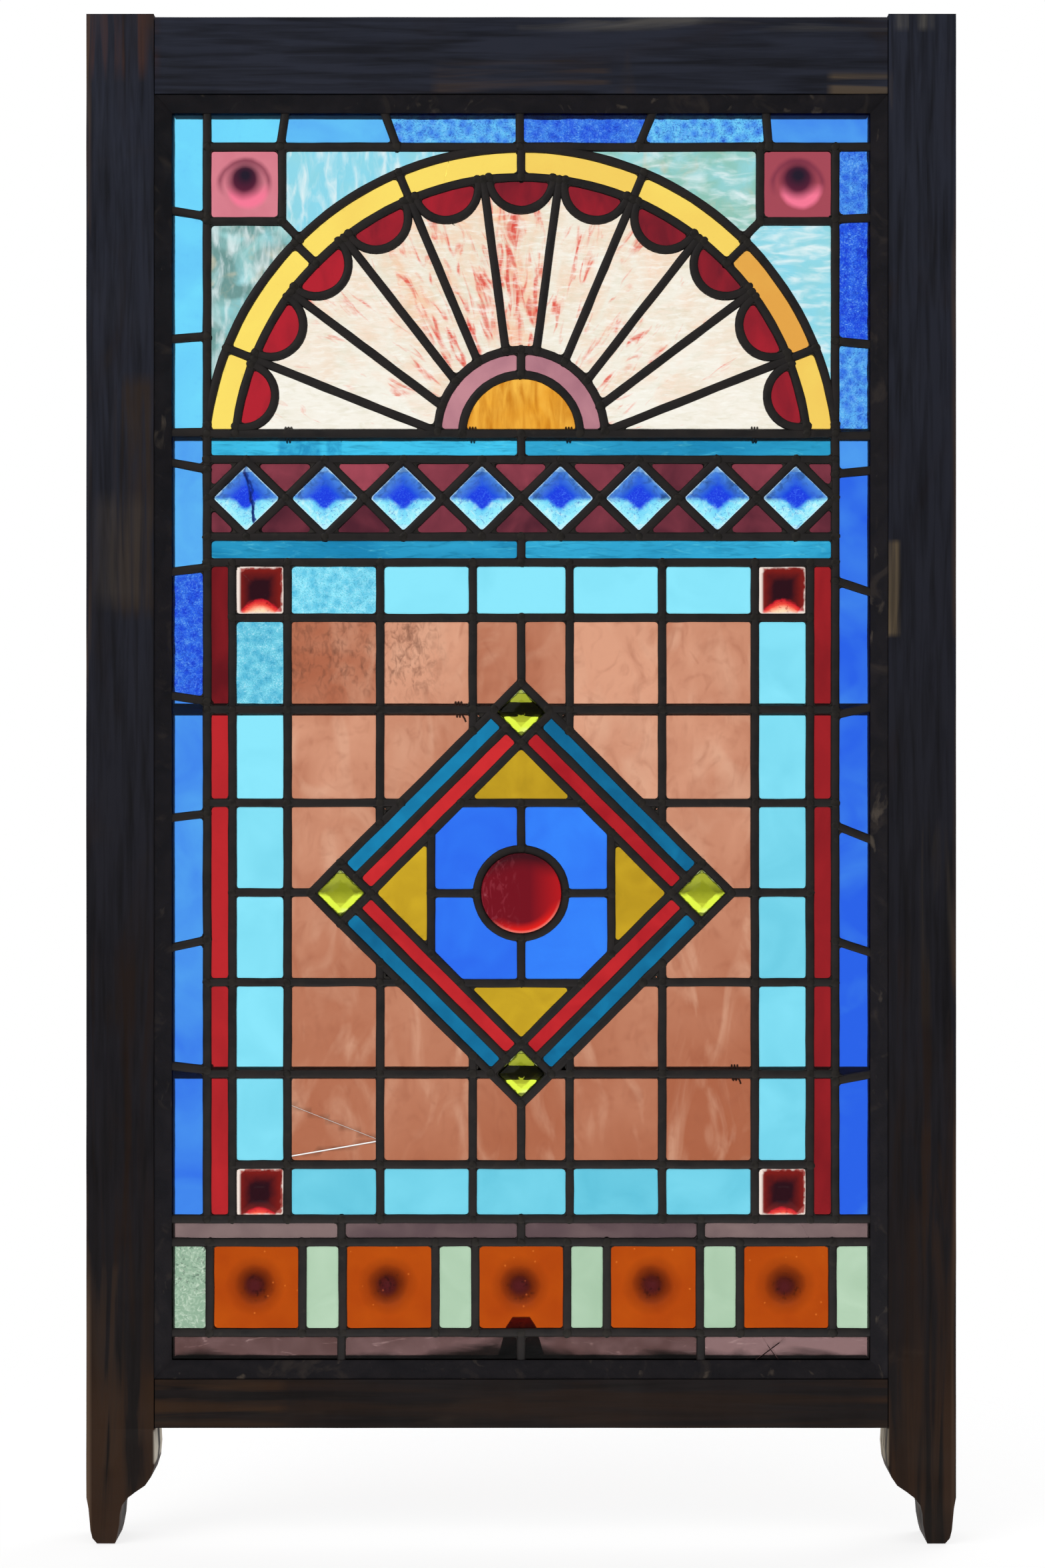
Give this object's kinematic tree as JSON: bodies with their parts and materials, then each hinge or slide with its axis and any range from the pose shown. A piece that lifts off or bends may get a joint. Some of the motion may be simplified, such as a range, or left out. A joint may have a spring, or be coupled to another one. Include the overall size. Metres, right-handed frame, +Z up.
{
  "type": "stained glass window sash",
  "caption": "Leaded stained glass upper sash in a dark timber frame with horns: an arched fan head over a jewel band, a quarry field with a diamond, and rows of small panes.",
  "frame": {"origin": "middle of the top rail's flat back face, where the sash is held", "axes": "+Z up, +X to the right seen from the putty side, -Y towards the putty side that the jewels stand out on, +Y out of the flat back"},
  "size_m": [0.64, 0.038, 1.125],
  "materials": {
    "dark_timber": "dark stained and weathered softwood, satin to dull",
    "putty": "old linseed glazing putty, painted over dark, lumpy and chipped",
    "iron": "dark rusted iron",
    "lead": "dull dark oxidised lead with solder lumps at the joints",
    "glass_blue": "translucent sky to royal blue cathedral glass, some panes hammered",
    "glass_aqua": "translucent rippled aqua white",
    "glass_pink": "translucent pressed rose pink",
    "glass_yellow": "translucent lemon yellow",
    "glass_ruby": "translucent deep ruby",
    "glass_opal": "opal white with red and salmon streaks",
    "glass_mauve": "translucent mauve",
    "glass_amber": "translucent streaky amber",
    "glass_cyan": "translucent wavy cyan",
    "glass_burgundy": "translucent burgundy",
    "glass_cobalt": "translucent cobalt blue, faceted on the jewels",
    "glass_light_cyan": "translucent light cyan, partly hammered",
    "glass_peach": "translucent mottled peach brown",
    "glass_teal": "translucent teal",
    "glass_red": "translucent bright red",
    "glass_green": "translucent faceted lime green",
    "glass_gold": "translucent gold",
    "glass_lilac": "translucent greyish lilac",
    "glass_pale_green": "translucent pale green",
    "glass_orange": "translucent orange with a darker pressed boss"
  },
  "bodies": {
    "root": {"stile_right": "dark_timber", "stile_left": "dark_timber", "rail_top": "dark_timber", "rail_bottom": "dark_timber", "putty": "putty", "saddle_bar_1": "iron", "saddle_bar_2": "iron", "saddle_bar_3": "iron", "sash_keep": "iron", "lead_cames": "lead", "glass_border_blue": "glass_blue", "glass_spandrel_left": "glass_aqua", "glass_spandrel_right": "glass_aqua", "rondel_pink_left": "glass_pink", "rondel_pink_right": "glass_pink", "glass_arch_yellow": "glass_yellow", "glass_scallops_ruby": "glass_ruby", "glass_rays_opal": "glass_opal", "glass_mauve_ring": "glass_mauve", "glass_amber_half_round": "glass_amber", "glass_strip_cyan_upper": "glass_cyan", "glass_strip_cyan_lower": "glass_cyan", "glass_band_burgundy": "glass_burgundy", "jewel_blue_1": "glass_cobalt", "jewel_blue_2": "glass_cobalt", "jewel_blue_3": "glass_cobalt", "jewel_blue_4": "glass_cobalt", "jewel_blue_5": "glass_cobalt", "jewel_blue_6": "glass_cobalt", "jewel_blue_7": "glass_cobalt", "jewel_blue_8": "glass_cobalt", "glass_strip_ruby_left": "glass_ruby", "glass_strip_ruby_right": "glass_ruby", "glass_border_light_cyan": "glass_light_cyan", "jewel_ruby_1": "glass_ruby", "jewel_ruby_2": "glass_ruby", "jewel_ruby_3": "glass_ruby", "jewel_ruby_4": "glass_ruby", "glass_field_peach": "glass_peach", "glass_diamond_teal": "glass_teal", "glass_diamond_red": "glass_red", "jewel_green_1": "glass_green", "jewel_green_2": "glass_green", "jewel_green_3": "glass_green", "jewel_green_4": "glass_green", "glass_gold_triangle_1": "glass_gold", "glass_gold_triangle_2": "glass_gold", "glass_gold_triangle_3": "glass_gold", "glass_gold_triangle_4": "glass_gold", "glass_octagon_blue": "glass_cobalt", "roundel_ruby": "glass_ruby", "glass_row_lilac_upper": "glass_lilac", "glass_row_lilac_lower": "glass_lilac", "glass_row_pale_green": "glass_pale_green", "rondel_orange_1": "glass_orange", "rondel_orange_2": "glass_orange", "rondel_orange_3": "glass_orange", "rondel_orange_4": "glass_orange", "rondel_orange_5": "glass_orange"}
  },
  "joints": []
}
